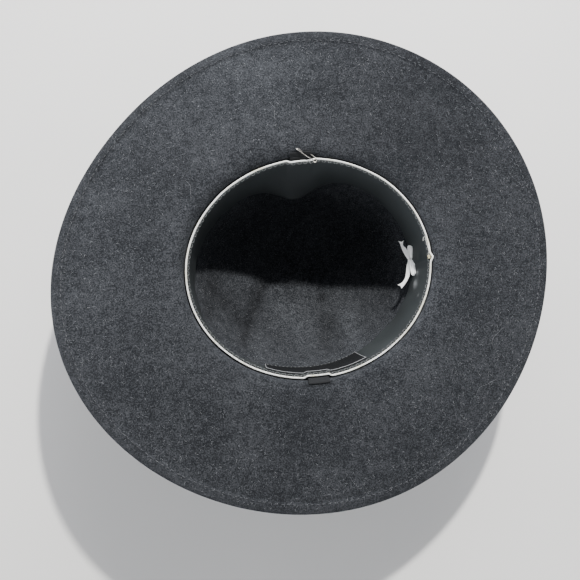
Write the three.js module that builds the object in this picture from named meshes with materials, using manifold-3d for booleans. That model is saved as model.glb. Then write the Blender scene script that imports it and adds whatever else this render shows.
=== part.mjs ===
// A wide-brimmed felt hat that lies upside down on its crown. Millimetres, +Z up.
// +X points to the back of the hat and +Y to one side. The origin is where the crown rests on the surface.
import * as THREE from 'three';
import { mergeVertices } from 'three/addons/utils/BufferGeometryUtils.js';
import Module from 'manifold-3d';

const wasm = await Module();
wasm.setup();

// The opening for the head, measured on the felt beside the reed, how far its outline is skewed towards one
// diagonal as a share of its half size, and the felt itself
const openingLength = 196.8;
const openingWidth = 176.1;
const openingHeight = 108;
const openingSkew = 0.0168;
const feltWall = 2.4;
const clearance = 0.3;

// The crown: how round its top and its sides are, how deep its own weight flattens it where it rests, and how
// soft the edges of its folds are as a share of their reach
const crownTopRound = 1.9;
const crownSideRound = 2.1;
const restFlat = 6;
const foldSoftness = 0.4;

// The folds push the felt towards a place on the hat's middle line, at a share of the opening's height. They
// fade in between two shares of the crown's depth.
const foldCentre = 0.75;
const foldsFrom = 0.36;
const foldsWhole = 0.66;

// The brim, how far it reaches beyond the opening, and the edge folded onto its underside
const brimReachAlong = 97.6;
const brimReachAcross = 101.4;
const brimDroop = 5;
const breakRadius = 5;
const weltWidth = 9;
const weltThickness = 1.1;

// The felt sinks towards the opening: how deep on average and from how far out, and how much deeper, as a share,
// at a turn in degrees than on average
const sinkDepth = 1.6;
const sinkRun = 16;
const sinkSwing = 0.5;
const sinkTurn = 125;

// Powers of the distance out along the brim, or down the sweatband, by which they droop, wave, lean and bulge
const droopPower = 1.5;
const wavePower = 1.6;
const leanPower = 1.1;
const bulgePower = 1.5;

// Sweatband with the height of its top edge above the opening, reed and the side loops for a chin cord
const bandHeight = 37;
const bandThickness = 1.3;
const bandLeanAlong = 4.9;
const bandLeanAcross = 3.5;
const bandTop = 0.77;
const reedRadius = 1;
const loopLength = 16.3;
const loopThickness = 1.3;
const loopDepth = 9;
const loopFlap = 7;
const dipRun = 3.5;

// Label patch on the sweatband, with its middle at a turn in degrees
const patchLength = 82;
const patchHeight = 31.5;
const patchThickness = 1;
const patchMargin = 1;
const patchTurn = -90.5;

// Ribbon bow at the back seam: where its knot is and how far its longest tail reaches
const bowKnotHeight = 4.2;
const bowKnotSide = 4.5;
const bowKnotSize = 4.2;
const bowKnotFlat = 0.6;
const bowReach = 23.5;
const bowRibbonWidth = 6;
const bowRibbonThickness = 1;

// Safety pin at one loop
const pinWire = 0.8;
const pinCoilRadius = 1.3;
const pinCoilAlong = 11.3;

// Numbers of facets
const roundSteps = 72;
const crownRows = 14;
const reedSides = 6;
const wireSides = 6;
const wireSteps = 34;

// Folds pressed into the crown. Each runs from one plan place to another, given as shares of the opening's
// half length and half width, and the felt on its left is pushed in. reach is a share of the half width,
// push a share of the opening's height.
const crownFolds = [
  { name: 'dent', fromX: -0.24, fromY: -0.6, toX: -0.24, toY: 0.6, reach: 0.28, push: 0.05 },
  { name: 'top', fromX: 0.83, fromY: 0.53, toX: -0.31, toY: -0.01, reach: 0.21, push: 0.03 },
  { name: 'front', fromX: -0.31, fromY: -0.01, toX: -0.49, toY: -0.55, reach: 0.18, push: 0.034 },
  { name: 'pinch', fromX: -0.68, fromY: -0.13, toX: -0.5, toY: -0.44, reach: 0.12, push: 0.024 },
  { name: 'side', fromX: 0.24, fromY: -0.14, toX: 0.29, toY: -0.72, reach: 0.16, push: 0.024 },
  { name: 'branch', fromX: 0.1, fromY: 0.2, toX: 0.04, toY: 0.44, reach: 0.12, push: 0.014 },
];

// Waves round the brim: times is how many there are, cut shapes the outline as shares of its half size,
// and rise lifts the edge as a share of the brim's reach.
const brimWaves = [
  { times: 1, cutCos: -0.0075, cutSin: -0.002, rise: 0 },
  { times: 2, cutCos: -0.002, cutSin: 0.013, rise: 0.14 },
  { times: 3, cutCos: -0.006, cutSin: -0.008, rise: 0 },
  { times: 4, cutCos: 0.003, cutSin: 0.004, rise: 0 },
];

// Bulges of the sweatband's free edge: turn and spread in degrees, out as a share of the band's height
const bandBulges = [
  { turn: 91, out: -0.5, spread: 11.5 },
  { turn: 48, out: 0.03, spread: 17 },
  { turn: 125, out: -0.054, spread: 18 },
  { turn: -140, out: 0.03, spread: 11 },
  { turn: -50, out: -0.12, spread: 22 },
  { turn: -97, out: -0.078, spread: 17 },
];

// The bow's strips, from the knot through a middle to an end: side along the band, up towards the reed and
// off from the band's face, all as shares of the bow's reach.
const bowStrips = [
  { name: 'upper loop', midSide: 0.25, midUp: 0.04, midOff: 0.05, side: 0.48, up: 0.05, off: 0.05 },
  { name: 'lower loop', midSide: -0.28, midUp: 0.04, midOff: 0.05, side: -0.56, up: 0.05, off: 0.05 },
  { name: 'upper tail', midSide: 0.42, midUp: -0.04, midOff: 0.18, side: 0.78, up: -0.05, off: 0.2 },
  { name: 'lower tail', midSide: -0.52, midUp: -0.05, midOff: 0.13, side: -1, up: -0.07, off: 0.33 },
];

// The pin's wire from its coil, over the ribbon loop, round its bend and back: along is a share of the loop's
// length, around is degrees round the brim's break (0 at the opening, past 90 out on the brim), and over
// counts the layers of ribbon that lie under the wire.
const pinPath = [
  { along: 0.47, around: 25, over: 1.2 },
  { along: 0.31, around: 50, over: 1.15 },
  { along: 0.17, around: 69, over: 1.3 },
  { along: 0.05, around: 83, over: 1.4 },
  { along: -0.07, around: 101, over: 1.3 },
  { along: -0.08, around: 120, over: 0.9 },
  { along: 0, around: 128, over: 0.55 },
  { along: 0.15, around: 112, over: 0.3 },
  { along: 0.34, around: 92, over: 0.12 },
  { along: 0.56, around: 77, over: 0.22 },
  { along: 0.68, around: 48, over: 0.32 },
  { along: 0.73, around: 24, over: 0.9 },
];

const halfLength = openingLength / 2;
const halfWidth = openingWidth / 2;
const crownDepth = openingHeight - feltWall + restFlat;
const radians = THREE.MathUtils.degToRad;
const mix = THREE.MathUtils.lerp;
const smoothstep = THREE.MathUtils.smoothstep;

function indexed(places, faces) {
  const geometry = new THREE.BufferGeometry();
  geometry.setAttribute('position', new THREE.Float32BufferAttribute(places, 3));
  geometry.setIndex(faces);
  return geometry;
}

// Closed wall between two equal grids of points, grid[row][column]. The front grid faces along the cross
// product of its rows' and columns' directions. A wrapped grid joins its last column to its first, and a
// pole is one point in row 0 of each grid.
function wall(front, back, { wrap = true, pole = false } = {}) {
  const rows = front.length;
  const columns = front[rows - 1].length;
  const places = [];
  const faces = [];
  const starts = [front, back].map((grid) => grid.map((row) => {
    const start = places.length / 3;
    row.forEach((point) => places.push(point.x, point.y, point.z));
    return start;
  }));
  const at = (side, row, column) => starts[side][row] + (pole && row === 0 ? 0 : column % columns);
  const quad = (a, b, c, d) => faces.push(a, b, c, a, c, d);
  const spans = wrap ? columns : columns - 1;
  for (let row = 0; row < rows - 1; row += 1) {
    const below = row + 1;
    for (let column = 0; column < spans; column += 1) {
      const next = column + 1;
      if (pole && row === 0) {
        faces.push(at(0, 0, 0), at(0, 1, column), at(0, 1, next));
        faces.push(at(1, 0, 0), at(1, 1, next), at(1, 1, column));
      } else {
        quad(at(0, row, column), at(0, below, column), at(0, below, next), at(0, row, next));
        quad(at(1, row, column), at(1, row, next), at(1, below, next), at(1, below, column));
      }
    }
    if (!wrap) {
      quad(at(0, row, 0), at(1, row, 0), at(1, below, 0), at(0, below, 0));
      quad(at(0, row, spans), at(0, below, spans), at(1, below, spans), at(1, row, spans));
    }
  }
  const bottom = rows - 1;
  for (let column = 0; column < spans; column += 1) {
    const next = column + 1;
    quad(at(0, bottom, column), at(1, bottom, column), at(1, bottom, next), at(0, bottom, next));
    if (!pole) {
      quad(at(0, 0, column), at(0, 0, next), at(1, 0, next), at(1, 0, column));
    }
  }
  return indexed(places, faces);
}

// Tube round a curve, closed on itself or with flat ends
function tube(curve, radius, steps, sides, closed) {
  const frames = curve.computeFrenetFrames(steps, closed);
  const places = [];
  const faces = [];
  const count = closed ? steps : steps + 1;
  for (let step = 0; step < count; step += 1) {
    const centre = curve.getPointAt(step / steps);
    for (let side = 0; side < sides; side += 1) {
      const angle = (side / sides) * 2 * Math.PI;
      const point = centre.clone();
      point.addScaledVector(frames.normals[step], radius * Math.cos(angle));
      point.addScaledVector(frames.binormals[step], radius * Math.sin(angle));
      places.push(point.x, point.y, point.z);
    }
  }
  const at = (step, side) => (step % count) * sides + (side % sides);
  for (let step = 0; step < steps; step += 1) {
    for (let side = 0; side < sides; side += 1) {
      faces.push(at(step, side), at(step, side + 1), at(step + 1, side + 1));
      faces.push(at(step, side), at(step + 1, side + 1), at(step + 1, side));
    }
  }
  if (!closed) {
    for (let side = 1; side < sides - 1; side += 1) {
      faces.push(at(0, 0), at(0, side + 1), at(0, side));
      faces.push(at(steps, 0), at(steps, side), at(steps, side + 1));
    }
  }
  return indexed(places, faces);
}

function toSolid(geometry) {
  const bare = new THREE.BufferGeometry();
  bare.setAttribute('position', geometry.getAttribute('position').clone());
  bare.setIndex(geometry.index.clone());
  const merged = mergeVertices(bare, 1e-4);
  return new wasm.Manifold(new wasm.Mesh({
    numProp: 3,
    vertProperties: Float32Array.from(merged.getAttribute('position').array),
    triVerts: Uint32Array.from(merged.index.array),
  }));
}

function joined(geometries) {
  const solid = geometries.map(toSolid).reduce((whole, piece) => whole.add(piece));
  const mesh = solid.getMesh();
  return indexed(mesh.vertProperties, Array.from(mesh.triVerts));
}

// How far the skew stretches the opening's outline at a turn, as a share of its half size
function skewAt(turn) {
  return openingSkew * Math.sin(2 * turn);
}

// Place at a turn round the opening, a distance outside its outline and a height above the surface
function besideOpening(turn, outward, height) {
  const outline = 1 + skewAt(turn);
  const x = (halfLength * outline + outward) * Math.cos(turn);
  const y = (halfWidth * outline + outward) * Math.sin(turn);
  return new THREE.Vector3(x, y, height);
}

// How far the felt has sunk at a distance outside the opening's outline. Inside the outline it fades over a
// few widths of the reed.
function sinkAt(turn, outward) {
  const run = outward < 0 ? reedRadius * 3 : sinkRun;
  const depth = sinkDepth * (1 + sinkSwing * Math.cos(turn - radians(sinkTurn)));
  return depth * Math.max(1 - Math.abs(outward) / run, 0) ** 2;
}

// Normal of a surface given as a function of (along, turn), on the side that shows from above
function normalAt(surface, along, turn, step) {
  const here = surface(along, turn);
  const ahead = surface(along + step, turn).sub(here);
  const around = surface(along, turn + step).sub(here);
  return ahead.cross(around).normalize();
}

// How far the folds push the felt in at a plan place
function foldPush(x, y) {
  let sum = 0;
  for (const fold of crownFolds) {
    const from = new THREE.Vector2(fold.fromX * halfLength, fold.fromY * halfWidth);
    const along = new THREE.Vector2(fold.toX * halfLength, fold.toY * halfWidth).sub(from);
    const length = along.length();
    along.divideScalar(length);
    const place = new THREE.Vector2(x, y).sub(from);
    const reach = fold.reach * halfWidth;
    const beside = along.x * place.y - along.y * place.x;
    const beyond = Math.max(-place.dot(along), place.dot(along) - length, 0);
    const soft = (beside + Math.hypot(beside, reach * foldSoftness)) / 2 / reach;
    const pushed = fold.push * openingHeight * soft * Math.exp(1 - soft) * Math.exp(-((beyond / reach) ** 2));
    sum += pushed ** 4;
  }
  return sum ** 0.25;
}

// Crown profile, from the crown's top at angle 0 to the opening at a quarter turn. The share k of the opening's
// half size and the share s of the depth satisfy k ^ crownTopRound + s ^ crownSideRound = 1.
function profileShares(angle) {
  const k = Math.sin(angle) ** (2 / crownTopRound);
  const s = Math.max(Math.cos(angle), 0) ** (2 / crownSideRound);
  return { k, s };
}

class CrownProfile extends THREE.Curve {
  getPoint(t, target = new THREE.Vector2()) {
    const { k, s } = profileShares((t * Math.PI) / 2);
    return target.set(k, s);
  }
}

// Inner surface of the crown with its folds, flattened where the crown rests
function crownPoint(angle, turn) {
  const { k, s } = profileShares(angle);
  const outline = k * (1 + skewAt(turn));
  const point = new THREE.Vector3(
    halfLength * outline * Math.cos(turn),
    halfWidth * outline * Math.sin(turn),
    openingHeight - s * crownDepth,
  );
  const inward = new THREE.Vector3(0, 0, openingHeight * foldCentre).sub(point).normalize();
  point.addScaledVector(inward, foldPush(point.x, point.y) * smoothstep(s, foldsFrom, foldsWhole));
  point.z = Math.max(point.z, feltWall);
  return point;
}

// How far the crown's wall at the middle of a side leans in at a depth below the opening
function crownLean(down) {
  const k = (1 - (down / crownDepth) ** crownSideRound) ** (1 / crownTopRound);
  return halfWidth * (1 - k);
}

// Visible surface of the brim: a quarter circle out of the opening, then a slope with waves. w is the share
// of the way from the opening to the edge.
function brimPoint(w, turn) {
  const reach = mix(brimReachAlong, brimReachAcross, Math.sin(turn) ** 2);
  let cut = 0;
  let rise = 0;
  for (const wave of brimWaves) {
    cut += wave.cutCos * Math.cos(wave.times * turn) + wave.cutSin * Math.sin(wave.times * turn);
    rise += wave.rise * Math.sin(wave.times * turn);
  }
  const outline = 1 + mix(skewAt(turn), cut, w * w);
  const out = w * reach;
  const past = Math.max(out - breakRadius, 0) / (reach - breakRadius);
  const curl = Math.sqrt(breakRadius ** 2 - Math.max(breakRadius - out, 0) ** 2);
  return new THREE.Vector3(
    (halfLength + w * brimReachAlong) * Math.cos(turn) * outline,
    (halfWidth + w * brimReachAcross) * Math.sin(turn) * outline,
    openingHeight + curl - sinkAt(turn, out) - brimDroop * past ** droopPower + rise * reach * past ** wavePower,
  );
}

// The brim's rows from the opening to the edge: out is the distance from the opening, lift the height of the
// folded underwelt above the brim's own felt and thickness the felt below that surface.
function brimRows() {
  const rows = [0.002, 0.3, 0.65, 1].map((quarter) => (
    { out: breakRadius * (1 - Math.cos((quarter * Math.PI) / 2)), lift: 0, thickness: feltWall }));
  const edge = (brimReachAlong + brimReachAcross) / 2;
  const weltFrom = edge - weltWidth;
  for (const share of [0.25, 0.5, 0.75, 1]) {
    rows.push({ out: mix(breakRadius, weltFrom, share), lift: 0, thickness: feltWall });
  }
  const round = (feltWall + weltThickness) / 2;
  rows.push({ out: weltFrom + weltThickness / 3, lift: weltThickness, thickness: feltWall });
  for (const { before, trim } of [{ before: 1, trim: 0 }, { before: 0.3, trim: 0.3 }, { before: 0, trim: 0.75 }]) {
    rows.push({ out: edge - before * round, lift: weltThickness - trim * round, thickness: feltWall - trim * round });
  }
  return rows.map((row) => ({ ...row, w: row.out / edge }));
}

// Crown, brim and underwelt: one felt wall
function feltBody() {
  const turns = Array.from({ length: roundSteps }, (_, i) => (i / roundSteps) * 2 * Math.PI);
  const front = [[new THREE.Vector3(0, 0, feltWall)]];
  const back = [[new THREE.Vector3(0, 0, 0)]];
  const addRow = (surface, along, step, lift, thickness) => {
    const row = turns.map((turn) => ({ point: surface(along, turn), normal: normalAt(surface, along, turn, step) }));
    front.push(row.map(({ point, normal }) => point.clone().addScaledVector(normal, lift)));
    back.push(row.map(({ point, normal }) => point.clone().addScaledVector(normal, -thickness)));
  };
  const profile = new CrownProfile();
  profile.arcLengthDivisions = 600;
  for (let row = 1; row < crownRows; row += 1) {
    const angle = (profile.getUtoTmapping(row / crownRows) * Math.PI) / 2;
    addRow(crownPoint, angle, 0.001, 0, feltWall);
  }
  for (const { w, lift, thickness } of brimRows()) {
    addRow(brimPoint, w, 0.0001, lift, thickness);
  }
  return wall(front, back, { pole: true });
}

// Turns from a loop's middle to its end and to the end of the dip that makes room for it
const loopHalfTurn = Math.asin(loopLength / 2 / halfLength);
const dipHalfTurn = Math.asin((loopLength / 2 + dipRun) / halfLength);

// Turns round the opening, with extra ones where the loops and their dips begin and end
function ringTurns() {
  const special = [];
  for (const middle of [Math.PI / 2, 1.5 * Math.PI]) {
    for (const offset of [-dipHalfTurn, -loopHalfTurn, loopHalfTurn, dipHalfTurn]) {
      special.push(middle + offset);
    }
  }
  const nearest = Math.PI / roundSteps / 2;
  const even = Array.from({ length: roundSteps }, (_, i) => (i / roundSteps) * 2 * Math.PI);
  const kept = even.filter((turn) => special.every((other) => Math.abs(turn - other) > nearest));
  return kept.concat(special).sort((a, b) => a - b);
}

// Room that a ribbon loop takes behind the reed: whole at the loop and 0 past its dip
function loopDip(turn) {
  const besideLoop = Math.abs(Math.cos(turn)) * halfLength;
  return (loopThickness + clearance) * (1 - smoothstep(besideLoop, loopLength / 2, loopLength / 2 + dipRun));
}

// The reed's middle line, through the given turns round the opening
class ReedLine extends THREE.Curve {
  constructor(turns) {
    super();
    this.turns = turns.concat(turns[0] + 2 * Math.PI);
  }

  getPoint(t, target = new THREE.Vector3()) {
    const place = t * (this.turns.length - 1);
    const before = Math.min(Math.floor(place), this.turns.length - 2);
    const turn = mix(this.turns[before], this.turns[before + 1], place - before);
    return target.copy(besideOpening(turn, -clearance - reedRadius - loopDip(turn), openingHeight));
  }

  getPointAt(t, target) {
    return this.getPoint(t, target);
  }

  getTangentAt(t, target = new THREE.Vector3()) {
    const step = 1e-4;
    const ahead = this.getPoint((t + step) % 1);
    return target.copy(ahead.sub(this.getPoint((t - step + 1) % 1)).normalize());
  }
}

// How far outside the opening's outline the sweatband's inner face is, at a share of its height from the top
function bandInner(turn, share) {
  const dip = loopDip(turn) * (1 - smoothstep(share, 0, 0.5));
  const top = -clearance * 2 - reedRadius * 2 - bandThickness - dip;
  const lean = mix(bandLeanAlong, bandLeanAcross, Math.sin(turn) ** 2);
  let bulge = 0;
  for (const { turn: middle, out, spread } of bandBulges) {
    const past = turn - radians(middle);
    const away = Math.atan2(Math.sin(past), Math.cos(past)) / radians(spread);
    bulge += out * bandHeight * Math.exp(-(away ** 2) / 2);
  }
  return top - lean * share ** leanPower + bulge * share ** bulgePower;
}

// Place on the sweatband's inner face, or a distance off it towards the middle of the hat
function onBand(turn, share, off) {
  return besideOpening(turn, bandInner(turn, share) - off, openingHeight + bandTop - share * bandHeight);
}

// Sweatband: a leaning band whose top stands beside the reed
function sweatband() {
  const turns = ringTurns();
  const face = (off) => [0, 0.3, 0.55, 0.8, 1].map((share) => turns.map((turn) => onBand(turn, share, off)));
  return wall(face(-bandThickness), face(0));
}

// Chin-cord loop: a folded ribbon that comes up behind the reed and leans over the brim's break
function chinLoop(middle) {
  const inset = clearance + loopThickness / 2;
  const lean = breakRadius + inset;
  const path = [loopDepth, loopDepth / 2].map((down) => ({ outward: -inset - crownLean(down), height: -down }));
  for (const share of [0, 0.25, 0.5, 0.75, 1]) {
    const angle = (share * loopFlap) / lean;
    path.push({ outward: breakRadius - lean * Math.cos(angle), height: lean * Math.sin(angle) });
  }
  const turns = [-1, -0.5, 0, 0.5, 1].map((share) => middle + share * loopHalfTurn);
  const face = (side) => path.map((place, i) => {
    const from = path[Math.max(i - 1, 0)];
    const to = path[Math.min(i + 1, path.length - 1)];
    const across = new THREE.Vector2(from.height - to.height, to.outward - from.outward).normalize();
    across.multiplyScalar((side * loopThickness) / 2);
    return turns.map((turn) => {
      const height = openingHeight + place.height + across.y - sinkAt(turn, place.outward);
      return besideOpening(turn, place.outward + across.x, height);
    });
  });
  return wall(face(1), face(-1), { wrap: false });
}

// Label patch: a thin plate on the sweatband's inner face, from just above the free edge
function labelPatch() {
  const steps = 12;
  const halfTurn = patchLength / (halfLength + halfWidth);
  const turns = Array.from({ length: steps + 1 }, (_, i) => radians(patchTurn) + mix(-halfTurn, halfTurn, i / steps));
  const lowest = 1 - patchMargin / bandHeight;
  const highest = lowest - patchHeight / bandHeight;
  const shares = [0, 1 / 3, 2 / 3, 1].map((part) => mix(highest, lowest, part));
  const gap = clearance * 1.3;
  const face = (extra) => shares.map((share) => turns.map((turn) => onBand(turn, share, gap + extra)));
  return wall(face(0), face(patchThickness), { wrap: false });
}

// How far the middle of the flattened knot is off the band's face
const knotOff = (bowKnotSize * bowKnotFlat) / 2 + clearance;

// Place in front of the sweatband at the back seam: side along the band from the knot, up above the knot
function besideKnot(side, up, off) {
  const share = 1 - (bowKnotHeight + up) / bandHeight;
  return onBand(Math.asin((bowKnotSide + side) / (halfWidth + bandInner(0, share))), share, off);
}

// One strip of the bow: a flat ribbon that bends from the knot through a middle to its end
function bowStrip(row) {
  const places = [
    { side: 0, up: 0, off: knotOff },
    { side: row.midSide * bowReach, up: row.midUp * bowReach, off: row.midOff * bowReach },
    { side: row.side * bowReach, up: row.up * bowReach, off: row.off * bowReach },
  ];
  const steps = 6;
  const curve = new THREE.CatmullRomCurve3(places.map(({ side, up, off }) => besideKnot(side, up, off)));
  const points = Array.from({ length: steps + 1 }, (_, i) => curve.getPointAt(i / steps));
  const wide = besideKnot(0, bowRibbonWidth / 2, 0).sub(besideKnot(0, 0, 0)).normalize();
  const face = (layer) => points.map((point, i) => {
    const along = curve.getTangentAt(i / steps);
    const across = wide.clone().addScaledVector(along, -wide.dot(along)).normalize();
    const normal = along.clone().cross(across).multiplyScalar((layer * bowRibbonThickness) / 2);
    return [-0.5, 0.5].map((edge) => point.clone().addScaledVector(across, edge * bowRibbonWidth).add(normal));
  });
  return wall(face(1), face(-1), { wrap: false });
}

// Bow: four strips and a rounded knot, joined into one solid
function backBow() {
  const knot = new THREE.SphereGeometry(bowKnotSize / 2, 10, 6);
  const centre = besideKnot(0, 0, knotOff);
  knot.scale(bowKnotFlat, 1, 1);
  knot.translate(centre.x, centre.y, centre.z);
  return joined([knot, ...bowStrips.map(bowStrip)]);
}

// Place beside the loop at +Y: along it, outward from the opening's outline and above the opening
function besideLoop(along, outward, height) {
  const turn = Math.acos(along / (halfLength + outward));
  return besideOpening(turn, outward, openingHeight + height);
}

// Safety pin: a bent wire joined to its coil
function safetyPin() {
  const layer = loopThickness + clearance;
  const coilOut = -clearance * 2 - reedRadius * 2 - bandThickness * 0.85;
  const coilUp = bandTop + clearance + pinWire * 0.9;
  const bends = pinPath.map(({ along, around, over }) => {
    const off = clearance + pinWire / 2 + over * layer;
    const angle = radians(Math.min(around, 90));
    const run = radians(Math.max(around - 90, 0)) * breakRadius;
    const outward = breakRadius - (breakRadius + off) * Math.cos(angle) + run;
    const sunk = sinkAt(Math.PI / 2, outward);
    return besideLoop(along * loopLength, outward, (breakRadius + off) * Math.sin(angle) - sunk);
  });
  const meets = [-1, 1].map((side) => (
    besideLoop(pinCoilAlong + side * pinCoilRadius * 0.8, coilOut + pinCoilRadius * 0.6, coilUp)));
  const wire = new THREE.CatmullRomCurve3([meets[0], ...bends, meets[1]], false, 'centripetal');
  const coil = new THREE.TorusGeometry(pinCoilRadius, pinWire / 2, wireSides, 12);
  const centre = besideLoop(pinCoilAlong, coilOut, coilUp);
  coil.translate(centre.x, centre.y, centre.z);
  return joined([tube(wire, pinWire / 2, wireSteps, wireSides, false), coil]);
}

const felt = new THREE.MeshStandardMaterial({ color: 0x2b2c2f, roughness: 1, metalness: 0 });
const smoothBand = new THREE.MeshStandardMaterial({ color: 0x2a2d2d, roughness: 0.45, metalness: 0 });
const paleCord = new THREE.MeshStandardMaterial({ color: 0xd6d8d2, roughness: 0.6, metalness: 0 });
const blackRibbon = new THREE.MeshStandardMaterial({ color: 0x151617, roughness: 0.7, metalness: 0 });
const blackPatch = new THREE.MeshStandardMaterial({ color: 0x121315, roughness: 0.6, metalness: 0 });
const whiteSatin = new THREE.MeshStandardMaterial({ color: 0xf2f1ec, roughness: 0.35, metalness: 0 });
const steelWire = new THREE.MeshStandardMaterial({ color: 0xc9c7c1, roughness: 0.3, metalness: 1 });

const hat = new THREE.Group();

function add(name, geometry, material) {
  const mesh = new THREE.Mesh(geometry, material);
  mesh.name = name;
  hat.add(mesh);
}

const reedTurns = ringTurns();
add('felt_body', feltBody(), felt);
add('sweatband', sweatband(), smoothBand);
add('reed', tube(new ReedLine(reedTurns), reedRadius, reedTurns.length, reedSides, true), paleCord);
add('chin_loop_left', chinLoop(Math.PI / 2), blackRibbon);
add('chin_loop_right', chinLoop(-Math.PI / 2), blackRibbon);
add('label_patch', labelPatch(), blackPatch);
add('back_bow', backBow(), whiteSatin);
add('safety_pin', safetyPin(), steelWire);

export default hat;
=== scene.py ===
# A wide-brimmed black wool-felt hat that lies upside down on its crown.
# Lengths in the dictionaries are millimetres. makeMesh turns them to metres.
import math
import bpy
import numpy as np
from mathutils import Matrix, Vector


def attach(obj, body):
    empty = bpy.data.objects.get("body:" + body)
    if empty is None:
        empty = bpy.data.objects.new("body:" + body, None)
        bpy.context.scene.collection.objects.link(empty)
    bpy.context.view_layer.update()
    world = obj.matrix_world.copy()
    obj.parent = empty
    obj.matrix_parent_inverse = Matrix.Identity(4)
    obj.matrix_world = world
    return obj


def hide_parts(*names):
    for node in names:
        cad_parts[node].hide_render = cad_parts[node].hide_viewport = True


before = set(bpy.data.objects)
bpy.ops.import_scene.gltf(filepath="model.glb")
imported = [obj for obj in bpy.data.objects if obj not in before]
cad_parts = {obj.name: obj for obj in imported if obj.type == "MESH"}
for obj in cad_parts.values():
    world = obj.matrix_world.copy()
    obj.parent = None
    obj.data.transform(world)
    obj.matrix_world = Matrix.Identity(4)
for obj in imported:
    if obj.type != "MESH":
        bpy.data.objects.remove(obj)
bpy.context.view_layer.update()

millimetre = 0.001
fullTurn = 2 * math.pi
random = np.random.default_rng(7)


# Camera, from the photo: its place in metres and its picture's right and up directions
cameraView = {
    "place": (-0.1004, -0.1004, 0.7979),
    "right": (0.9902, -0.0883, 0.1084),
    "up": (0.0741, 0.9890, 0.1282),
    "lens": 55.86,
    "sensor": 36.0,
}


def makeCamera(view):
    right = Vector(view["right"]).normalized()
    up = Vector(view["up"])
    up = (up - up.dot(right) * right).normalized()
    data = bpy.data.cameras.new("camera")
    data.lens = view["lens"]
    data.sensor_width = view["sensor"]
    data.clip_start = 0.01
    camera = bpy.data.objects.new("camera", data)
    camera.matrix_world = Matrix((right, up, right.cross(up))).transposed().to_4x4()
    camera.location = view["place"]
    bpy.context.scene.collection.objects.link(camera)
    bpy.context.scene.camera = camera


makeCamera(cameraView)
print("camera placed")


# Meshes from arrays

def makeMesh(name, points, faceSets, uv=None, sharpAngle=None):
    # points (n, 3) in millimetres, faceSets a list of index arrays of one size each, uv (n, 2) in metres
    mesh = bpy.data.meshes.new(name)
    faces = [face for faceSet in faceSets for face in np.asarray(faceSet).tolist()]
    mesh.from_pydata((np.asarray(points) * millimetre).tolist(), [], faces)
    mesh.shade_smooth()
    if uv is not None:
        corners = np.empty(len(mesh.loops), dtype=np.int32)
        mesh.loops.foreach_get("vertex_index", corners)
        mesh.uv_layers.new(name="surface").data.foreach_set("uv", np.asarray(uv)[corners].ravel())
    if sharpAngle is not None:
        mesh.set_sharp_from_angle(angle=math.radians(sharpAngle))
    mesh.validate()
    piece = bpy.data.objects.new(name, mesh)
    bpy.context.scene.collection.objects.link(piece)
    return piece


def wallFaces(rows, columns, wrap, pole):
    # Closed wall between two grids of rows by columns points, the front grid's points first. The front faces
    # along the cross product of its rows' and columns' directions. A pole adds one point to each grid at the end.
    front = np.arange(rows * columns).reshape(rows, columns)
    back = front + rows * columns
    if wrap:
        front = np.hstack([front, front[:, :1]])
        back = np.hstack([back, back[:, :1]])

    def quads(a, b, c, d):
        return np.stack([a.ravel(), b.ravel(), c.ravel(), d.ravel()], axis=1)

    sets = [
        quads(front[:-1, :-1], front[1:, :-1], front[1:, 1:], front[:-1, 1:]),
        quads(back[:-1, :-1], back[:-1, 1:], back[1:, 1:], back[1:, :-1]),
        quads(front[-1, :-1], back[-1, :-1], back[-1, 1:], front[-1, 1:]),
    ]
    if pole:
        tips = 2 * rows * columns
        for ring, tip, turned in ((front[0], tips, False), (back[0], tips + 1, True)):
            ahead, here = (ring[1:], ring[:-1]) if not turned else (ring[:-1], ring[1:])
            sets.append(np.stack([np.full(len(here), tip), here, ahead], axis=1))
    else:
        sets.append(quads(front[0, :-1], front[0, 1:], back[0, 1:], back[0, :-1]))
    if not wrap:
        sets.append(quads(front[:-1, 0], back[:-1, 0], back[1:, 0], front[1:, 0]))
        sets.append(quads(front[:-1, -1], front[1:, -1], back[1:, -1], back[:-1, -1]))
    return sets


def makeWall(name, front, back, wrap=True, poles=None, uv=None, sharpAngle=None):
    # front and back are (rows, columns, 3) arrays, uv is (rows, columns, 2) for both
    rows, columns = front.shape[:2]
    points = [front.reshape(-1, 3), back.reshape(-1, 3)]
    if poles is not None:
        points.append(np.asarray(poles, dtype=float))
    if uv is not None:
        uv = np.vstack([uv.reshape(-1, 2)] * 2)
    faces = wallFaces(rows, columns, wrap, poles is not None)
    return makeMesh(name, np.vstack(points), faces, uv, sharpAngle)


def unit(vectors):
    return vectors / np.maximum(np.linalg.norm(vectors, axis=-1, keepdims=True), 1e-12)


def carriedRing(path, radius, sides, hint):
    # Round section carried along paths: path (..., steps, 3), with hint a direction that no path runs along.
    # Each point of the ring is the path plus radius times (cos * across + sin * over).
    along = unit(np.gradient(path, axis=-2))
    across = unit(np.cross(along, hint))
    over = np.cross(across, along)
    angle = np.arange(sides) * fullTurn / sides
    ring = np.cos(angle)[:, None] * across[..., None, :] + np.sin(angle)[:, None] * over[..., None, :]
    return path[..., None, :] + np.asarray(radius)[..., None, None] * ring


def makeThreads(name, paths, radius, sides, hint):
    # Many thin strands in one mesh: paths (strands, steps, 3), each with pointed ends
    strands, steps = paths.shape[:2]
    taper = np.ones(steps)
    taper[[0, -1]] = 0.35
    rings = carriedRing(paths, np.broadcast_to(radius, (strands,))[:, None] * taper, sides, hint)
    index = np.arange(strands * steps * sides).reshape(strands, steps, sides)
    ahead = np.roll(index, -1, axis=2)
    body = np.stack([index[:, :-1], index[:, 1:], ahead[:, 1:], ahead[:, :-1]], axis=-1).reshape(-1, 4)
    caps = np.concatenate([index[:, 0], index[:, -1, ::-1]])
    return makeMesh(name, rings.reshape(-1, 3), [body, caps])


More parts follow.
